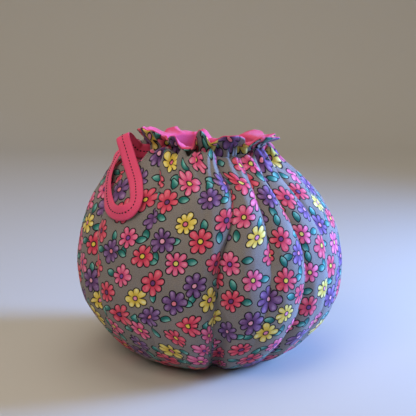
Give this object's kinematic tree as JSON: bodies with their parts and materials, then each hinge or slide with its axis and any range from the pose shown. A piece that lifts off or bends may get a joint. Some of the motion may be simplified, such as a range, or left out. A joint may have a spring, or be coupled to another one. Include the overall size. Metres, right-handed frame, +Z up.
{
  "type": "tea cosy",
  "caption": "Round padded cloth cover for a teapot, gathered into a frill by a drawstring tape at the neck, with side slits for spout and handle.",
  "frame": {"origin": "middle of the cosy's box on the surface that its hem rests on", "axes": "+Z up, -Y the front, +X the side with the handle's slit, -X the side with the spout's slit"},
  "size_m": [0.2166, 0.2174, 0.1897],
  "materials": {
    "print_cotton": "padded cotton, warm grey with coloured flowers, matt",
    "pink_cotton": "plain coral pink cotton, matt",
    "pink_tape": "flat coral pink tape with a black centre stitch, matt"
  },
  "bodies": {
    "root": {"outer_front": "print_cotton", "outer_back": "print_cotton", "lining_front": "pink_cotton", "lining_back": "pink_cotton", "drawstring": "pink_tape"}
  },
  "joints": []
}
